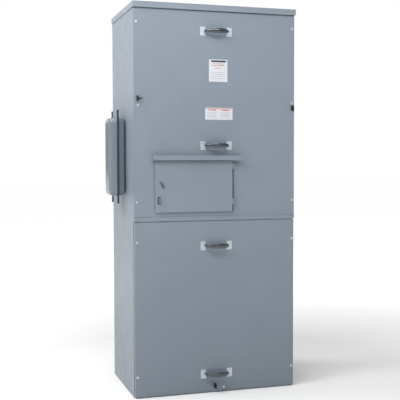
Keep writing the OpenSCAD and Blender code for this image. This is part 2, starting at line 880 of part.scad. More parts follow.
back_panel();
left_side_panel();
right_side_panel();
roof();
bottom_pan();
bottom_closing_plate();
front_rails();
bus_throat();
throat_gasket();
throat_end_cap();
throat_cleats();
cabinet_screws();
seal_lugs();
pan_channels();
breaker_pan();
dead_front();
dead_front_posts();
bus_support_plate();
bus_insulators();
breaker_base();
breaker_case_top();
trip_unit();
arc_chutes();
breaker_terminals();
line_bus(0);  // line_bus_a
line_bus(1);  // line_bus_b
line_bus(2);  // line_bus_c
load_bus(0);  // load_bus_a
load_bus(1);  // load_bus_b
load_bus(2);  // load_bus_c
cross_bus(0);  // cross_bus_a
cross_bus(1);  // cross_bus_b
cross_bus(2);  // cross_bus_c
neutral_bus();
bus_bolts();
cable_lugs();
lug_set_screws();
ground_bar();
bonding_jumper();
upper_cover();
upper_gasket();
upper_cover_screws();
upper_handle_grips();
upper_handle_plates();
cover_labels();
drip_hood();
door_hinge_leaves();
padlock_staple();
access_door();
door_hinge_arms();
door_gasket();
door_latch();
lower_cover();
lower_gasket();
lower_cover_screws();
lower_handle_grips();
lower_handle_plates();
breaker_handle();
trip_button();
contact_arms();
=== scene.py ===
import json
import math

import bmesh
import bpy
from mathutils import Matrix, Vector


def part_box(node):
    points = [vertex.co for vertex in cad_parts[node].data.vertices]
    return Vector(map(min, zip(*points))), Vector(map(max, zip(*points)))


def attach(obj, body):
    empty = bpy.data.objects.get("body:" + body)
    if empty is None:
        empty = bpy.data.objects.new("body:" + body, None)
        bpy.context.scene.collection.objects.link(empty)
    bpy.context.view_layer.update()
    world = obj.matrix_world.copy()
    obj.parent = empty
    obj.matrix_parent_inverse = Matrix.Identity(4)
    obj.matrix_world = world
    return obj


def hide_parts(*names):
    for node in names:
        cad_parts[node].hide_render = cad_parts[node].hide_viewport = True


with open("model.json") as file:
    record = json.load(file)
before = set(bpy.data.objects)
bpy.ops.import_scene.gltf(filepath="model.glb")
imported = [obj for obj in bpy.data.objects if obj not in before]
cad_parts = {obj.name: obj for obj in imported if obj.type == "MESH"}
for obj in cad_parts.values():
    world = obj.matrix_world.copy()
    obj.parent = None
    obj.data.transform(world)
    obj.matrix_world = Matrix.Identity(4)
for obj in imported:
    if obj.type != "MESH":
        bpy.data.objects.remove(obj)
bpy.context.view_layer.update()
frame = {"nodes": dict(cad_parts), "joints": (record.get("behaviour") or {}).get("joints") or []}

MM = 0.001
SHEET = 2 * MM


# ---------------------------------------------------------------- node helpers
class Finish:
    """A Principled material with short ways to add procedural nodes to it."""

    def __init__(self, name):
        self.material = bpy.data.materials.new(name)
        self.material.use_nodes = True
        self.nodes = self.material.node_tree.nodes
        self.links = self.material.node_tree.links
        self.shader = self.nodes["Principled BSDF"]
        self.place = self.nodes.new("ShaderNodeTexCoord").outputs["Object"]

    def link(self, source, target):
        self.links.new(source, target)

    def constant(self, **values):
        """Numbers and colours that are the same all over, on the shader's own sockets."""
        for socket, value in values.items():
            self.shader.inputs[socket.replace("_", " ")].default_value = value

    def stretched(self, scale):
        """Object coordinates, scaled by (x, y, z)."""
        mapping = self.nodes.new("ShaderNodeMapping")
        mapping.inputs["Scale"].default_value = scale
        self.link(self.place, mapping.inputs["Vector"])
        return mapping.outputs["Vector"]

    def noise(self, scale, detail=4.0, rough=0.55, stretch=None, distortion=0.0):
        node = self.nodes.new("ShaderNodeTexNoise")
        node.inputs["Scale"].default_value = scale
        node.inputs["Detail"].default_value = detail
        node.inputs["Roughness"].default_value = rough
        node.inputs["Distortion"].default_value = distortion
        self.link(self.stretched(stretch) if stretch else self.place, node.inputs["Vector"])
        return node.outputs["Fac"]

    def voronoi(self, scale):
        node = self.nodes.new("ShaderNodeTexVoronoi")
        node.inputs["Scale"].default_value = scale
        self.link(self.place, node.inputs["Vector"])
        return node

    def pores(self, scale):
        """Distance to the nearest cell centre, for the pores of foam."""
        return self.voronoi(scale).outputs["Distance"]

    def spangle(self, scale):
        """A tone of its own for each cell, as the crystals of a zinc coat."""
        return self.voronoi(scale).outputs["Color"]

    def spread(self, source, low, high, to_low=0.0, to_high=1.0):
        """source between low and high, stretched over to_low..to_high."""
        node = self.nodes.new("ShaderNodeMapRange")
        node.inputs["From Min"].default_value = low
        node.inputs["From Max"].default_value = high
        node.inputs["To Min"].default_value = to_low
        node.inputs["To Max"].default_value = to_high
        self.link(source, node.inputs["Value"])
        return node.outputs["Result"]

    def height(self):
        """The point's height over the floor at rest, in metres."""
        split = self.nodes.new("ShaderNodeSeparateXYZ")
        self.link(self.place, split.inputs["Vector"])
        return split.outputs["Z"]

    def times(self, a, b):
        node = self.nodes.new("ShaderNodeMath")
        node.operation = "MULTIPLY"
        for socket, value in zip(node.inputs, (a, b)):
            if isinstance(value, (int, float)):
                socket.default_value = value
            else:
                self.link(value, socket)
        return node.outputs["Value"]

    def edges(self, radius):
        """1 on a worn edge, 0 on a flat face."""
        soft = self.nodes.new("ShaderNodeBevel")
        soft.samples = 4
        soft.inputs["Radius"].default_value = radius
        hard = self.nodes.new("ShaderNodeNewGeometry")
        dot = self.nodes.new("ShaderNodeVectorMath")
        dot.operation = "DOT_PRODUCT"
        self.link(soft.outputs["Normal"], dot.inputs[0])
        self.link(hard.outputs["Normal"], dot.inputs[1])
        return self.spread(dot.outputs["Value"], 0.97, 0.80)

    def mix(self, fac, a, b):
        """Colour a where fac is 0, b where it is 1. a and b are colours or sockets."""
        node = self.nodes.new("ShaderNodeMix")
        node.data_type = "RGBA"
        sockets = {s.identifier: s for s in node.inputs}
        for key, value in (("A_Color", a), ("B_Color", b)):
            if isinstance(value, tuple):
                sockets[key].default_value = (*value, 1.0)
            else:
                self.link(value, sockets[key])
        self.link(fac, sockets["Factor_Float"])
        return next(s for s in node.outputs if s.identifier == "Result_Color")

    def colour(self, source):
        self.link(source, self.shader.inputs["Base Color"])

    def roughness(self, source, low, high):
        self.link(self.spread(source, 0.3, 0.7, low, high), self.shader.inputs["Roughness"])

    def bump(self, *layers):
        """Stacks bump layers, each (source, strength, height in metres)."""
        normal = None
        for source, strength, depth in layers:
            node = self.nodes.new("ShaderNodeBump")
            node.inputs["Strength"].default_value = strength
            node.inputs["Distance"].default_value = depth
            self.link(source, node.inputs["Height"])
            if normal is not None:
                self.link(normal, node.inputs["Normal"])
            normal = node.outputs["Normal"]
        self.link(normal, self.shader.inputs["Normal"])


def scaled(colour, factor):
    return tuple(channel * factor for channel in colour)


# ------------------------------------------------------------------- materials
PAINT = (0.207, 0.247, 0.293)
# The colour of the painted shade toward the floor.
FOOT_SHADE = (0.125, 0.150, 0.180)
# Metres over the floor between which the paint darkens downward, as painted shade. It was set to match the
# photo's gray levels, so it stands in for some of the light's falloff.
FOOT_SHADE_TOP = 0.80
FOOT_SHADE_FULL = 0.10


def painted_sheet(name, colour, rough=(0.36, 0.46), wear=0.35, foot_shade=0.36):
    """Semi-gloss enamel on sheet steel: orange peel, waviness, a foot darkened by painted shade, thin paint
    on edges.
    """
    f = Finish(name)
    broad = f.noise(2.2, 3.0)
    cloudy = f.noise(14.0, 5.0, 0.6)
    grit = f.noise(260.0, 3.0, 0.7)
    tone = f.mix(f.spread(broad, 0.35, 0.65), scaled(colour, 0.955), scaled(colour, 1.035))
    tone = f.mix(f.times(f.spread(cloudy, 0.45, 0.75), 0.22), tone, scaled(colour, 0.90))
    # Painted shade: the paint darkens unevenly toward the floor, standing in for the light's falloff.
    low = f.spread(f.height(), FOOT_SHADE_TOP, FOOT_SHADE_FULL)
    tone = f.mix(f.times(f.times(low, f.spread(broad, 0.0, 1.0, 0.4, 1.0)), foot_shade), tone, FOOT_SHADE)
    chips = f.times(f.edges(0.0012), f.spread(grit, 0.50, 0.62))
    tone = f.mix(f.times(chips, wear), tone, scaled(colour, 1.45))
    f.colour(tone)
    f.roughness(cloudy, *rough)
    f.constant(Coat_Weight=0.12, Coat_Roughness=0.22, Specular_IOR_Level=0.5)
    f.bump((f.noise(1.6, 2.0), 0.25, 0.004), (f.noise(420.0, 2.0, 0.5), 0.10, 0.0003))
    return f.material


def plated_steel(name, colour, rough, grain, metallic=1.0):
    """Plated metal: spangle, fine brushed grain, dull spots and brighter edges."""
    f = Finish(name)
    crystals = f.spangle(grain)
    spots = f.noise(90.0, 5.0, 0.65)
    tone = f.mix(f.spread(crystals, 0.2, 0.8), scaled(colour, 0.86), scaled(colour, 1.06))
    tone = f.mix(f.times(f.spread(spots, 0.52, 0.72), 0.35), tone, scaled(colour, 0.62))
    tone = f.mix(f.times(f.edges(0.0008), 0.5), tone, scaled(colour, 1.12))
    f.colour(tone)
    f.roughness(spots, *rough)
    f.constant(Metallic=metallic)
    f.bump((f.noise(500.0, 2.0, 0.6, stretch=(1, 1, 0.12)), 0.12, 0.0002))
    return f.material


def bar_copper(name, colour):
    """Drawn copper bar: lengthwise draw lines, warm and dark oxide clouds, bright edges."""
    f = Finish(name)
    oxide = f.noise(22.0, 6.0, 0.6, distortion=0.6)
    lines = f.noise(300.0, 2.0, 0.5, stretch=(0.04, 1, 1))
    tone = f.mix(f.spread(oxide, 0.40, 0.72), colour, (0.36, 0.15, 0.08))
    tone = f.mix(f.times(f.edges(0.0010), 0.6), tone, (0.98, 0.66, 0.50))
    f.colour(tone)
    f.roughness(oxide, 0.24, 0.44)
    f.constant(Metallic=1.0)
    f.bump((lines, 0.18, 0.0002))
    return f.material


def moulded(name, colour, rough=(0.38, 0.52), grain=650.0, coat=0.0, mottle=0.12):
    """Moulded plastic or dipped vinyl: fine grain, slight tone changes, rubbed edges."""
    f = Finish(name)
    flow = f.noise(30.0, 4.0, 0.55)
    tone = f.mix(f.times(f.spread(flow, 0.35, 0.65), mottle), colour, scaled(colour, 1.9))
    tone = f.mix(f.times(f.edges(0.0009), 0.45), tone, scaled(colour, 2.4))
    f.colour(tone)
    f.roughness(flow, *rough)
    f.constant(Coat_Weight=coat, Coat_Roughness=0.10)
    f.bump((f.noise(grain, 2.0, 0.5), 0.16, 0.0002))
    return f.material


def foam(name, colour):
    """Closed-cell foam tape: small open pores at the cut faces."""
    f = Finish(name)
    pores = f.pores(900.0)
    tone = f.mix(f.spread(pores, 0.1, 0.6), scaled(colour, 0.5), scaled(colour, 1.5))
    f.colour(tone)
    f.roughness(f.noise(40.0), 0.80, 0.95)
    f.bump((pores, 0.5, 0.0005))
    return f.material


def glass_polyester(name, colour):
    """Glass-filled polyester: short pale fibres in a deep red resin."""
    f = Finish(name)
    fibres = f.noise(190.0, 5.0, 0.7, stretch=(1, 1, 0.25), distortion=1.2)
    tone = f.mix(f.times(f.spread(fibres, 0.56, 0.70), 0.4), colour, (0.62, 0.30, 0.24))
    f.colour(tone)
    f.roughness(fibres, 0.34, 0.55)
    f.bump((fibres, 0.20, 0.0003))
    return f.material


def card(name, colour):
    """Coated label stock with a faint fibre and a little dirt."""
    f = Finish(name)
    fibre = f.noise(700.0, 4.0, 0.7)
    smudge = f.noise(45.0, 4.0, 0.6)
    tone = f.mix(f.times(f.spread(smudge, 0.50, 0.75), 0.18), colour, scaled(colour, 0.78))
    f.colour(tone)
    f.roughness(smudge, 0.36, 0.50)
    f.bump((fibre, 0.12, 0.0001))
    return f.material


def ink(name, colour):
    """Screen-print ink: slightly uneven density and gloss."""
    f = Finish(name)
    density = f.noise(260.0, 4.0, 0.65)
    f.colour(f.mix(f.times(f.spread(density, 0.45, 0.70), 0.25), colour, scaled(colour, 1.5)))
    f.roughness(density, 0.42, 0.58)
    f.bump((density, 0.08, 0.0001))
    return f.material


SLOT_FINISH = {
    "cabinet_paint": painted_sheet("cabinet_paint_enamel", PAINT),
    "dark_gray_paint": painted_sheet("throat_paint_enamel", (0.165, 0.200, 0.238), (0.15, 0.22), 0.25),
    "grip_vinyl": moulded("grip_vinyl_dip", (0.024, 0.034, 0.046), (0.14, 0.22), 500.0, 1.0, 0.3),
    "zinc_steel": plated_steel("zinc_plate", (0.62, 0.66, 0.72), (0.34, 0.50), 260.0, 0.8),
    "black_steel": plated_steel("black_oxide_steel", (0.050, 0.053, 0.058), (0.36, 0.50), 300.0, 0.7),
    "copper": bar_copper("bar_copper", (0.80, 0.42, 0.28)),
    "black_moulding": moulded("black_moulding", (0.026, 0.029, 0.033), (0.40, 0.55), 520.0),
    "foam_gasket": foam("foam_tape", (0.030, 0.031, 0.033)),
    "red_polyester": glass_polyester("red_polyester_moulding", (0.36, 0.050, 0.035)),
    "lug_aluminium": plated_steel("tinned_aluminium", (0.70, 0.71, 0.72), (0.32, 0.50), 420.0),
    "label_stock": card("label_card", (0.60, 0.62, 0.66)),
    "red_button": moulded("red_button_moulding", (0.50, 0.030, 0.022), (0.28, 0.40), 700.0, 0.2),
}


# ---------------------------------------------------------------- CAD finishes
EDGE_BREAK = {
    "cabinet_paint": 0.7 * MM,
    "dark_gray_paint": 0.8 * MM,
    "zinc_steel": 0.35 * MM,
    "copper": 0.6 * MM,
    "black_moulding": 0.6 * MM,
    "red_polyester": 0.8 * MM,
    "lug_aluminium": 0.6 * MM,
    "black_steel": 0.4 * MM,
}
CREASE = math.radians(32)


def soften(obj, width):
    """Rounds an object's sharp edges by width, after welding its vertices and merging its flat faces."""
    weld = obj.modifiers.new("Weld", "WELD")
    weld.merge_threshold = 0.01 * MM
    merge = obj.modifiers.new("Flatten", "DECIMATE")
    merge.decimate_type = "DISSOLVE"
    merge.angle_limit = math.radians(0.4)
    bevel = obj.modifiers.new("Bevel", "BEVEL")
    bevel.width = width
    bevel.segments = 2
    bevel.limit_method = "ANGLE"
    bevel.angle_limit = CREASE
    bevel.harden_normals = True


def finish_cad_nodes():
    for _, obj in sorted(frame["nodes"].items()):
        slot = obj.data.materials[0].name
        obj.data.materials[0] = SLOT_FINISH[slot]
        if slot in EDGE_BREAK:
            for polygon in obj.data.polygons:
                polygon.use_smooth = True
            if "custom_normal" in obj.data.attributes:
                obj.data.attributes.remove(obj.data.attributes["custom_normal"])
            soften(obj, EDGE_BREAK[slot])


finish_cad_nodes()


# ------------------------------------------------------------------ mesh tools
def piece(name, mesh_maker, material, body, edge=0.0):
    """Makes an object from a bmesh filler, gives it a finish, and lets it ride on a CAD body."""
    mesh = bpy.data.meshes.new(name)
    bm = bmesh.new()
    mesh_maker(bm)
    bmesh.ops.recalc_face_normals(bm, faces=bm.faces)
    bm.to_mesh(mesh)
    bm.free()
    obj = bpy.data.objects.new(name, mesh)
    bpy.context.scene.collection.objects.link(obj)
    mesh.materials.append(material)
    for polygon in mesh.polygons:
        polygon.use_smooth = True
    if edge:
        soften(obj, edge)
    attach(obj, body)
    return obj


def prism(bm, outline, y0, y1):
    """A closed solid: the (x, z) outline run from y0 to y1."""
    near = [bm.verts.new((x, y0, z)) for x, z in outline]
    far = [bm.verts.new((x, y1, z)) for x, z in outline]
    bm.faces.new(near)
    bm.faces.new(far)
    for i in range(len(outline)):
        j = (i + 1) % len(outline)
        bm.faces.new((near[i], near[j], far[j], far[i]))


def arc(centre, radius, start, end, steps):
    """Points on a circle from start to end, in degrees."""
    angles = [math.radians(start + (end - start) * i / steps) for i in range(steps + 1)]
    return [(centre[0] + radius * math.cos(a), centre[1] + radius * math.sin(a)) for a in angles]


def turned(bm, profile, matrix, steps=24):
    """A closed solid: the (radius, height) profile turned about the matrix's Z axis."""
    rings = []
    for radius, height in profile:
        if radius == 0:
            rings.append([bm.verts.new(matrix @ Vector((0, 0, height)))])
            continue
        rings.append([
            bm.verts.new(matrix @ Vector((
                radius * math.cos(2 * math.pi * k / steps),
                radius * math.sin(2 * math.pi * k / steps),
                height,
            )))
            for k in range(steps)
        ])
    for lower, upper in zip(rings, rings[1:]):
        for k in range(steps):
            n = (k + 1) % steps
            if len(lower) == 1:
                bm.faces.new((lower[0], upper[k], upper[n]))
            elif len(upper) == 1:
                bm.faces.new((lower[k], lower[n], upper[0]))
            else:
                bm.faces.new((lower[k], lower[n], upper[n], upper[k]))


def slab(bm, x0, x1, z0, z1, y0, y1):
    """A closed block."""
    prism(bm, [(x0, z0), (x1, z0), (x1, z1), (x0, z1)], y0, y1)


def in_mm(points):
    return [(a * MM, b * MM) for a, b in points]


def vertices(node):
    return [v.co for v in frame["nodes"][node].data.vertices]


def joint_place(name):
    return next(j for j in frame["joints"] if j["name"] == name)["pos_m"]


def facing_front(x, y, z):
    """A matrix whose Z axis points out of the cover, along -Y, at (x, y, z)."""
    return Matrix.Translation((x, y, z)) @ Matrix.Rotation(math.radians(90), 4, "X")


# ------------------------------------------------------------- handle hardware
PLATE_W = 27 * MM
PLATE_H = 43 * MM
PLATE_T = 2 * MM
CORNER_R = 3 * MM
NOTCH_W = 7 * MM
NOTCH_H = 8 * MM
RIVET_IN = 8 * MM
RIVET_UP = 13 * MM
# Radius and height, in millimetres
RIVET_PROFILE = [(0, 0), (3.4, 0), (3.4, 0.5), (2.9, 1.3), (1.7, 1.9), (0, 2.1)]


def plate_outline(x0, x1, z_mid, inner_left):
    """A bracket plate with round corners and a notch in its inner side, where the grip's end lands."""
    half = PLATE_H / 2
    side = -1 if inner_left else 1
    mid = (x0 + x1) / 2
    reach = (x1 - x0) / 2
    inner = reach - CORNER_R
    lobe = [
        (reach - NOTCH_W, 0.0),
        (reach - 1.5 * MM, NOTCH_H),
        (reach, NOTCH_H + 3 * MM),
    ]
    upper = lobe + arc((inner, half - CORNER_R), CORNER_R, 0, 90, 4)
    upper += arc((-inner, half - CORNER_R), CORNER_R, 90, 180, 4)
    lower = [(x, -z) for x, z in reversed(upper) if z != 0.0]
    points = upper + lower
    return [(mid + side * x, z_mid + z) for x, z in points]


def rivet(bm, x, y, z):
    """A domed rivet head with a rolled rim."""
    turned(bm, in_mm(RIVET_PROFILE), facing_front(x, y, z), 16)


def handle_centres(node):
    """Each handle's centre height, from the node's own height range: two handles to a cover."""
    low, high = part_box(node)
    half = PLATE_H / 2
    return [low.z + half, high.z - half]


def make_plates(prefix, node, body):
    low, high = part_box(node)
    back = high.y
    spans = [(low.x, low.x + PLATE_W, False), (high.x - PLATE_W, high.x, True)]

    def fill_plates(bm):
        for z in handle_centres(node):
            for x0, x1, inner_left in spans:
                prism(bm, plate_outline(x0, x1, z, inner_left), back - PLATE_T, back)

    def fill_rivets(bm):
        for z in handle_centres(node):
            for x0, x1, inner_left in spans:
                outer = x1 - RIVET_IN if inner_left else x0 + RIVET_IN
                for dz in (-RIVET_UP, RIVET_UP):
                    rivet(bm, outer, back - PLATE_T, z + dz)

    zinc = SLOT_FINISH["zinc_steel"]
    brackets = piece(prefix + "_handle_brackets", fill_plates, zinc, body, 0.4 * MM)
    piece(prefix + "_handle_rivets", fill_rivets, zinc, body)
    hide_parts(node)


make_plates("upper", "upper_handle_plates", "upper_cover")
make_plates("lower", "lower_handle_plates", "lower_cover")


# ------------------------------------------------------------------- hand grips
GRIP_REACH = 59 * MM
GRIP_OUT = 43.5 * MM
GRIP_FLAT = 0.84
# Half thickness and half height of the bow: at its ends, and what the middle adds
GRIP_END = (3.2 * MM, 4.2 * MM)
GRIP_SWELL = (3.6 * MM, 8.2 * MM)
GRIP_RINGS = 36
GRIP_SIDES = 18


def squared(value, power):
    """value with its size raised to power and its sign kept: it fills out a round section."""
    return abs(value) ** power * math.copysign(1, value)


def grip_bow(bm, z, back):
    """A boat-shaped bow from bracket to bracket: fat in the middle, tapered to each end."""
    rings = []
    for i in range(GRIP_RINGS + 1):
        turn = math.pi * i / GRIP_RINGS
        y = back - GRIP_OUT * math.sin(turn) ** 0.8 * GRIP_FLAT
        centre = Vector((-GRIP_REACH * math.cos(turn), y, z))
        tangent = Vector((GRIP_REACH * math.sin(turn), -GRIP_OUT * math.cos(turn), 0)).normalized()
        across = tangent.cross(Vector((0, 0, 1))).normalized()
        fat = math.sin(turn) ** 1.35
        thick = GRIP_END[0] + GRIP_SWELL[0] * fat
        tall = GRIP_END[1] + GRIP_SWELL[1] * fat
        ring = []
        for k in range(GRIP_SIDES):
            a = 2 * math.pi * k / GRIP_SIDES
            out = squared(math.cos(a), 0.65)
            up = squared(math.sin(a), 0.85)
            ring.append(bm.verts.new(centre + across * thick * out + Vector((0, 0, tall * up))))
        rings.append(ring)
    for lower, upper in zip(rings, rings[1:]):
        for k in range(GRIP_SIDES):
            n = (k + 1) % GRIP_SIDES
            bm.faces.new((lower[k], lower[n], upper[n], upper[k]))
    bm.faces.new(rings[0])
    bm.faces.new(rings[-1])


def make_grips(prefix, grips, plates, body):
    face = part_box(plates)[1].y - PLATE_T

    def fill(bm):
        for z in handle_centres(plates):
            grip_bow(bm, z, face + 0.3 * MM)

    grip = piece(prefix + "_hand_grips", fill, SLOT_FINISH["grip_vinyl"], body)
    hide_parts(grips)


make_grips("upper", "upper_handle_grips", "upper_handle_plates", "upper_cover")
make_grips("lower", "lower_handle_grips", "lower_handle_plates", "lower_cover")


# ------------------------------------------------------------------- bus throat
THROAT_R = 30 * MM
SHOULDER_R = 22 * MM
LIP = 4 * MM
CORNER_STEPS = 8
SHOULDER_STEPS = 8


def rounded_ring(bm, x, centre, half_z, half_y, radius):
    """A rounded rectangle of vertices in the plane x."""
    ring = []
    for sy, sz, start in ((1, 1, 0), (-1, 1, 90), (-1, -1, 180), (1, -1, 270)):
        corner = (sy * (half_y - radius), sz * (half_z - radius))
        for y, z in arc(corner, radius, start, start + 90, CORNER_STEPS):
            ring.append(bm.verts.new((x, centre[0] + y, centre[1] + z)))
    return ring


def bridge(bm, a, b):
    for k in range(len(a)):
        n = (k + 1) % len(a)
        bm.faces.new((a[k], a[n], b[n], b[k]))


def drawn_pan(bm, root, tip, centre, half_z, half_y):
    """A drawn pan from its flange at x = root to its face at x = tip: lip, wall, round shoulder, flat face.
    """
    way = math.copysign(1, tip - root)
    depth = abs(tip - root)
    wall_z, wall_y = half_z - LIP, half_y - LIP
    draft = 3 * MM
    stations = [
        (0, half_z, half_y, THROAT_R),
        (SHEET, half_z, half_y, THROAT_R),
        (SHEET, wall_z + 1 * MM, wall_y + 1 * MM, THROAT_R - 2 * MM),
        (SHEET + 1.5 * MM, wall_z, wall_y, THROAT_R - 3 * MM),
        (depth - SHOULDER_R, wall_z - draft, wall_y - draft, THROAT_R - 3 * MM),
    ]
    for i in range(1, SHOULDER_STEPS + 1):
        turn = math.pi / 2 * i / SHOULDER_STEPS
        inset = draft + SHOULDER_R * (1 - math.cos(turn))
        x = depth - SHOULDER_R + SHOULDER_R * math.sin(turn)
        stations.append((x, wall_z - inset, wall_y - inset, max(THROAT_R - 3 * MM - inset * 0.6, 9 * MM)))
    rings = [rounded_ring(bm, root + way * x, centre, hz, hy, r) for x, hz, hy, r in stations]
    for a, b in zip(rings, rings[1:]):
        bridge(bm, a, b)
    bm.faces.new(rings[0])
    bm.faces.new(rings[-1])


def make_throat():
    paint = SLOT_FINISH["dark_gray_paint"]
    neck_low, neck_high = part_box("bus_throat")
    cap_low, cap_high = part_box("throat_end_cap")
    centre = ((cap_low.y + cap_high.y) / 2, (cap_low.z + cap_high.z) / 2)
    half_y, half_z = (cap_high.y - cap_low.y) / 2, (cap_high.z - cap_low.z) / 2
    cap = piece(
        "throat_cap_drawn",
        lambda bm: drawn_pan(bm, cap_high.x, cap_low.x, centre, half_z, half_y),
        paint, "enclosure", 0.6 * MM,
    )
    neck = piece(
        "throat_neck_drawn",
        lambda bm: drawn_pan(bm, neck_low.x, neck_high.x, centre, half_z, half_y),
        paint, "enclosure", 0.6 * MM,
    )
    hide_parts("throat_end_cap")
    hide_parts("bus_throat")


def cleat_channel(bm, x_mid, back, way, z0, z1):
    """A drive cleat: a folded channel over both flanges along one edge, with its back at y = back."""
    outer, inner, lip = 4.6 * MM, 3.2 * MM, 8.5 * MM
    path = [
        (-outer, lip), (-outer, 0), (outer, 0), (outer, lip),
        (inner, lip), (inner, 1.4 * MM), (-inner, 1.4 * MM), (-inner, lip),
    ]
    low = [bm.verts.new((x_mid + x, back + way * y, z0)) for x, y in path]
    high = [bm.verts.new((x_mid + x, back + way * y, z1)) for x, y in path]
    bridge(bm, low, high)
    bm.faces.new(low)
    bm.faces.new(high)


def make_cleats():
    low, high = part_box("throat_cleats")
    x_mid = (low.x + high.x) / 2
    front = piece(
        "throat_cleat_front",
        lambda bm: cleat_channel(bm, x_mid, low.y, 1, low.z, high.z),
        SLOT_FINISH["black_moulding"], "enclosure", 0.5 * MM,
    )
    piece(
        "throat_cleat_rear",
        lambda bm: cleat_channel(bm, x_mid, high.y, -1, low.z, high.z),
        SLOT_FINISH["cabinet_paint"], "enclosure", 0.5 * MM,
    )
    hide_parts("throat_cleats")


make_throat()
make_cleats()


# --------------------------------------------------------------- door hardware
# Radius and height, in millimetres
KNOB_PROFILE = [
    (0, 0), (8, 0), (8, 1.4), (7.2, 2.2), (6.6, 6.6), (5.8, 7.6), (2.4, 7.6), (2.0, 6.9), (0, 6.9),
]
STEM_PROFILE = [(0, 0), (5, 0), (5, 20.5), (0, 20.5)]
KNOB_ROOT = 9.2 * MM
# How far up each hinge leaf the black strip of painted shade between the hinges starts
LEAF_SKIP = 30 * MM
# x and z in millimetres, from a corner of each seal lug: where the ear starts, and its outline
LEFT_EAR_AT = (3.6, 9)
LEFT_EAR = [(0, 8), (0, -13), (7, -3), (27, 5)]
RIGHT_EAR_AT = (-5, 4)
RIGHT_EAR = [(6, -3), (15, -12), (15, -2), (8, 8)]
EAR_T = 3 * MM
LUG_REACH = 10 * MM


def stadium(x, z, half, reach, lean):
    """The outline of a lever: a round root at (x, z) that narrows to a round tip, leaning by lean degrees."""
    root = arc((0, 0), half, 180, 360, 8)
    tip = arc((0, reach), half * 0.62, 0, 180, 8)
    turn = math.radians(lean)
    return [
        (x + px * math.cos(turn) - pz * math.sin(turn), z + px * math.sin(turn) + pz * math.cos(turn))
        for px, pz in root + tip
    ]


def make_latch():
    """A quarter-turn latch: a round knob with a leaning lever outside, a stem and a cam inside."""
    low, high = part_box("door_latch")
    x, _, z = joint_place("door_latch_turn")
    knob_face = low.y
    cam_back = high.y
    lever = stadium(x, z, 4.2 * MM, 25 * MM, 30)
    cam = stadium(x, z, 6 * MM, 32 * MM, 180)

    def fill(bm):
        turned(bm, in_mm(KNOB_PROFILE), facing_front(x, knob_face + KNOB_ROOT, z), 28)
        prism(bm, lever, knob_face + 0.3 * MM, knob_face + 5.5 * MM)
        turned(bm, in_mm(STEM_PROFILE), facing_front(x, cam_back, z), 24)
        prism(bm, cam, cam_back - 4.5 * MM, cam_back - 1.5 * MM)

    cast = moulded("latch_casting", (0.085, 0.100, 0.118), (0.30, 0.42), 420.0, 0.2)
    latch = piece("door_latch_lever", fill, cast, "door_latch", 0.4 * MM)
    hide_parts("door_latch")


def make_hasp_frame():
    """A raised painted frame on the door, round the slot that the padlock staple passes through."""
    low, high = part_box("padlock_staple")
    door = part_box("access_door")[0]
    x0, x1 = high.x - 9 * MM, high.x + 5 * MM
    z0, z1 = low.z - 7 * MM, high.z + 7 * MM
    rim = 3.2 * MM
    face, back = door.y - 1.6 * MM, door.y

    def fill(bm):
        slab(bm, x0 - rim, x0, z0, z1, face, back)
        slab(bm, x1, x1 + rim, z0, z1, face, back)
        slab(bm, x0, x1, z0, z0 + rim, face, back)
        slab(bm, x0, x1, z1 - rim, z1, face, back)

    piece("hasp_frame", fill, SLOT_FINISH["cabinet_paint"], "access_door", 0.4 * MM)


def make_hinge_gap_shade():
    """A black strip in the gap along the hinge side, as painted shade for the gap's shadow: below the lower
    hinge, and between the two.
    """
    door_low, door_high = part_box("access_door")
    hinge_low, hinge_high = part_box("door_hinge_leaves")
    spans = [
        (door_low.z + 1 * MM, hinge_low.z - 1 * MM),
        (hinge_low.z + LEAF_SKIP, hinge_high.z - LEAF_SKIP),
    ]
    x0, x1 = door_high.x + 1.0 * MM, joint_place("access_door_hinge")[0] - 0.6 * MM
    y0, y1 = door_low.y + SHEET, door_high.y + 0.6 * MM

    def fill(bm):
        for z0, z1 in spans:
            slab(bm, x0, x1, z0, z1, y0, y1)

    # A dark strip as painted shade where the hinge-side gap is in shadow.
    piece("hinge_gap_shade", fill, SLOT_FINISH["foam_gasket"], "upper_cover")


def make_seal_ears():
    """Dark wedges on the upper cover beside its two seal lugs, for the seal wire to wrap."""
    cover_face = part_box("drip_hood")[1].y
    low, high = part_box("seal_lugs")
    lugs = vertices("seal_lugs")
    left_z = min(p.z for p in lugs if p.x < low.x + LUG_REACH)
    right_z = min(p.z for p in lugs if p.x > high.x - LUG_REACH)
    ears = [
        (low.x, left_z, LEFT_EAR_AT, LEFT_EAR),
        (high.x, right_z, RIGHT_EAR_AT, RIGHT_EAR),
    ]

    def fill(bm):
        for x, z, (dx, dz), outline in ears:
            placed = [(x + (dx + px) * MM, z + (dz + pz) * MM) for px, pz in outline]
            prism(bm, placed, cover_face - EAR_T, cover_face)

    piece("seal_ears", fill, SLOT_FINISH["black_moulding"], "upper_cover", 0.4 * MM)


make_latch()
make_seal_ears()
make_hasp_frame()
make_hinge_gap_shade()


# ----------------------------------------------------------------- label print
INK_BLACK = ink("label_ink_black", (0.018, 0.018, 0.020))
INK_RED = ink("label_ink_red", (0.50, 0.13, 0.11))
INK_GRAY = ink("label_ink_gray", (0.34, 0.35, 0.38))
INK_T = 0.08 * MM
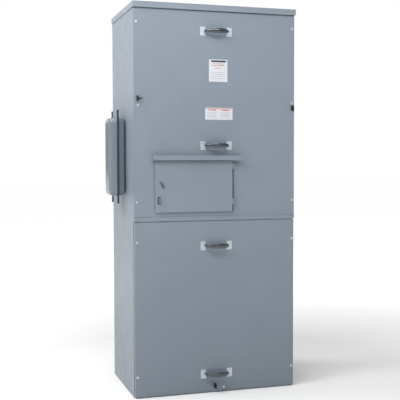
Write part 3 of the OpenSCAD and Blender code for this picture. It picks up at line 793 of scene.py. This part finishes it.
# Bars as parts of a label's width and height: left, right, bottom, top
UPPER_BLACK = [(0.12, 0.92, 0.885, 0.965)]
UPPER_RED = [(0.22, 0.78, 0.80, 0.825), (0.12, 0.84, 0.72, 0.745), (0.30, 0.66, 0.60, 0.625)]
LOWER_RED = [(0.03, 0.97, 0.90, 0.955), (0.12, 0.40, 0.76, 0.84), (0.58, 0.86, 0.76, 0.84)]
UPPER_GRAY = [(0.10, 0.86 - 0.10 * (i % 2), 0.14 + 0.09 * i, 0.155 + 0.09 * i) for i in range(4)]
LOWER_GRAY = [
    (u, u + 0.38 - 0.05 * (i % 2), 0.14 + 0.11 * i, 0.165 + 0.11 * i)
    for u in (0.07, 0.54)
    for i in range(5)
]


def extent(points):
    xs = [p.x for p in points]
    zs = [p.z for p in points]
    return min(xs), max(xs), min(zs), max(zs)


def make_label_print():
    """Plain printed bars, a header band and rules, with no lettering."""
    low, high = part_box("cover_labels")
    split_z = (low.z + high.z) / 2
    sheet = vertices("cover_labels")
    upper = extent([p for p in sheet if p.z > split_z])
    lower = extent([p for p in sheet if p.z <= split_z])

    def printed(upper_bars, lower_bars):
        def fill(bm):
            for label, bars in ((upper, upper_bars), (lower, lower_bars)):
                x0, x1, z0, z1 = label
                width, height = x1 - x0, z1 - z0
                for left, right, bottom, top in bars:
                    slab(
                        bm, x0 + width * left, x0 + width * right,
                        z0 + height * bottom, z0 + height * top, low.y - INK_T, low.y,
                    )
        return fill

    for name, fill, material in (
        ("label_header_band", printed(UPPER_BLACK, []), INK_BLACK),
        ("label_red_rules", printed(UPPER_RED, LOWER_RED), INK_RED),
        ("label_gray_rules", printed(UPPER_GRAY, LOWER_GRAY), INK_GRAY),
    ):
        piece(name, fill, material, "upper_cover")


make_label_print()


# ------------------------------------------------------------------------ stage
# The floor glows from this distance to this distance, up to this strength, as the photo is cut out
# on white.
GLOW_FROM, GLOW_TO, GLOW = 1.2, 3.4, 0.54
WORLD_LIGHT = 0.24
BACKDROP = 1.0
SUN_STRENGTH = 0.80
SUN_SOFTNESS = math.radians(25)
# Name, place, aim, width and height, watts
AREA_LIGHTS = [
    ("key", (-3.1, -1.3, 3.7), (-0.4, 0.0, 1.6), (1.4, 2.0), 70),
    ("strip", (-0.8, -2.4, 3.1), (-0.1, -0.2, 1.7), (4.0, 1.1), 66),
    ("side", (-2.2, 0.7, 3.8), (-0.4, 0.0, 1.9), (1.4, 1.4), 52),
    ("rear", (-1.9, 5.2, 2.9), (-0.4, 0.2, 1.4), (2.6, 2.4), 15),
]
LENS = 73.75
CAMERA_PLACE = (-1.247, -4.030, 1.1205)
CAMERA_TURN = math.radians(17.12)
CAMERA_TILT = math.radians(2.546)
CAMERA_ROLL = math.radians(-0.13)


def make_floor():
    mesh = bpy.data.meshes.new("studio_floor")
    reach = 40.0
    corners = [(-reach, -reach, 0), (reach, -reach, 0), (reach, reach, 0), (-reach, reach, 0)]
    mesh.from_pydata(corners, [], [(0, 1, 2, 3)])
    floor = bpy.data.objects.new("studio_floor", mesh)
    bpy.context.scene.collection.objects.link(floor)
    floor.location.z = -0.5 * MM
    f = Finish("studio_floor_matte")
    f.colour(f.mix(f.noise(1.5), (0.90, 0.90, 0.90), (0.93, 0.93, 0.93)))
    f.constant(Roughness=0.9, Specular_IOR_Level=0.1, Emission_Color=(1.0, 1.0, 1.0, 1.0))
    distance = f.nodes.new("ShaderNodeVectorMath")
    distance.operation = "LENGTH"
    f.link(f.place, distance.inputs[0])
    glow = f.spread(distance.outputs["Value"], GLOW_FROM, GLOW_TO, 0.0, GLOW)
    f.link(glow, f.shader.inputs["Emission Strength"])
    mesh.materials.append(f.material)


def area_light(name, place, target, size, power):
    data = bpy.data.lights.new(name, "AREA")
    data.shape = "RECTANGLE"
    data.size, data.size_y = size
    data.energy = power
    light = bpy.data.objects.new(name, data)
    light.location = place
    light.rotation_euler = (Vector(target) - Vector(place)).to_track_quat("-Z", "Y").to_euler()
    bpy.context.scene.collection.objects.link(light)


def sun_light(name, strength, softness):
    """Straight down: it lights the floor, and leaves the upright faces mostly to the other lights."""
    data = bpy.data.lights.new(name, "SUN")
    data.energy = strength
    data.angle = softness
    light = bpy.data.objects.new(name, data)
    light.location = (0.0, 0.0, 5.0)
    bpy.context.scene.collection.objects.link(light)


def make_world(strength, backdrop):
    """Even white light of one strength on the object, and another strength where the camera looks."""
    world = bpy.data.worlds.new("studio")
    bpy.context.scene.world = world
    world.use_nodes = True
    nodes, links = world.node_tree.nodes, world.node_tree.links
    back = nodes["Background"]
    path = nodes.new("ShaderNodeLightPath")
    level = nodes.new("ShaderNodeMapRange")
    level.inputs["To Min"].default_value = strength
    level.inputs["To Max"].default_value = backdrop
    links.new(path.outputs["Is Camera Ray"], level.inputs["Value"])
    back.inputs["Color"].default_value = (1.0, 1.0, 1.0, 1.0)
    links.new(level.outputs["Result"], back.inputs["Strength"])


def make_camera():
    data = bpy.data.cameras.new("camera")
    data.lens = LENS
    data.sensor_width = 36.0
    data.clip_end = 200.0
    camera = bpy.data.objects.new("camera", data)
    camera.location = CAMERA_PLACE
    look = Matrix.Rotation(-CAMERA_TURN, 4, "Z") @ Matrix.Rotation(math.radians(90) - CAMERA_TILT, 4, "X")
    camera.rotation_euler = (look @ Matrix.Rotation(CAMERA_ROLL, 4, "Z")).to_euler()
    bpy.context.scene.collection.objects.link(camera)
    bpy.context.scene.camera = camera


make_floor()
make_world(WORLD_LIGHT, BACKDROP)
sun_light("overhead", SUN_STRENGTH, SUN_SOFTNESS)
for light in AREA_LIGHTS:
    area_light(*light)
make_camera()
bpy.context.scene.view_settings.view_transform = "Standard"
